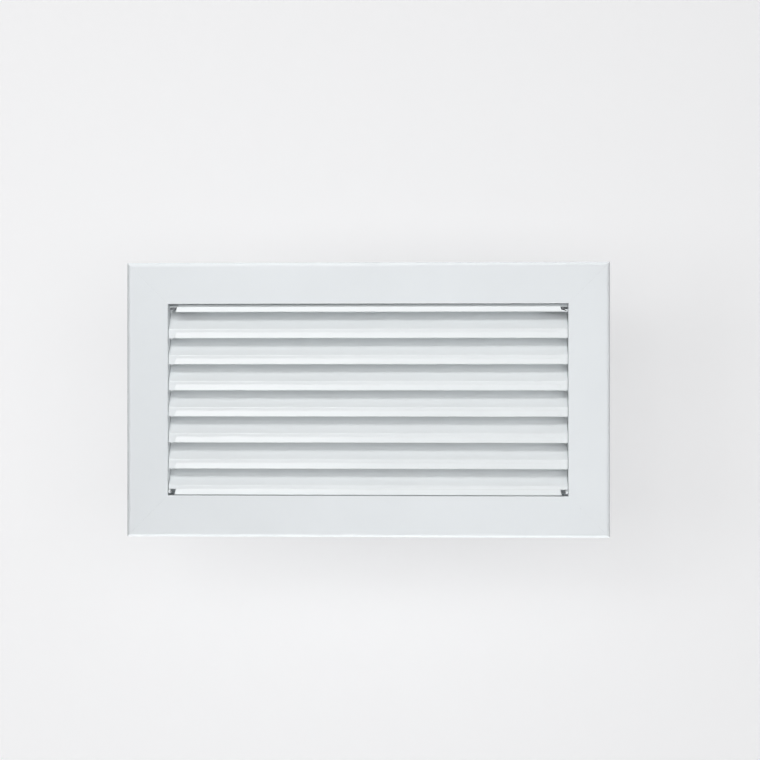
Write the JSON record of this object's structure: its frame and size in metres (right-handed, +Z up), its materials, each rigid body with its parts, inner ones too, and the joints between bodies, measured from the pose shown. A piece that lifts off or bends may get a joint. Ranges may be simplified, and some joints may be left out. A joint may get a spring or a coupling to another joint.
{
  "type": "louvred air grille",
  "caption": "Flanged return-air grille: a mitred frame with a short neck, carrying a bottom-hinged core of fixed, sloping louvre blades held shut by two slide catches.",
  "frame": {"origin": "centre of the grille's bounding box, on the centre line of the neck, half way through its depth", "axes": "+X along the width, to the right as seen from the room; +Y from the room into the duct; +Z up"},
  "size_m": [0.35, 0.036, 0.199],
  "materials": {
    "frame_coat": "satin powder coat, cool off-white",
    "blade_coat": "satin powder coat, cool off-white",
    "bare_aluminium": "mill finish",
    "zinc_steel": "zinc plated",
    "nylon": "moulded, dark grey",
    "foam": "open-cell foam, black"
  },
  "bodies": {
    "frame": {"frame_top": "frame_coat", "frame_bottom": "frame_coat", "frame_left": "frame_coat", "frame_right": "frame_coat", "corner_key_top_left": "bare_aluminium", "corner_key_top_right": "bare_aluminium", "corner_key_bottom_left": "bare_aluminium", "corner_key_bottom_right": "bare_aluminium", "gasket_strip_top": "foam", "gasket_strip_bottom": "foam", "gasket_strip_left": "foam", "gasket_strip_right": "foam", "hinge_bush_left": "nylon", "hinge_bush_right": "nylon"},
    "core": {"louvre_blade_1": "blade_coat", "louvre_blade_2": "blade_coat", "louvre_blade_3": "blade_coat", "louvre_blade_4": "blade_coat", "louvre_blade_5": "blade_coat", "louvre_blade_6": "blade_coat", "louvre_blade_7": "blade_coat", "top_rail": "blade_coat", "side_rail_left": "blade_coat", "side_rail_right": "blade_coat", "hinge_pin_left": "zinc_steel", "hinge_pin_right": "zinc_steel", "catch_bracket_left": "bare_aluminium", "catch_bracket_right": "bare_aluminium", "catch_rivet_left": "bare_aluminium", "catch_rivet_right": "bare_aluminium"},
    "catch_left": {"catch_bolt_left": "nylon"},
    "catch_right": {"catch_bolt_right": "nylon"}
  },
  "joints": [
    {"name": "core_hinge", "type": "hinge", "parent": "frame", "child": "core", "pos_m": [0, -0.0149, -0.06675], "axis": [1, 0, 0], "range_deg": [0, 110]},
    {"name": "catch_slide_left", "type": "slide", "parent": "core", "child": "catch_left", "axis": [-1, 0, 0], "range_m": [0, 0.003]},
    {"name": "catch_slide_right", "type": "slide", "parent": "core", "child": "catch_right", "axis": [1, 0, 0], "range_m": [0, 0.003]}
  ]
}
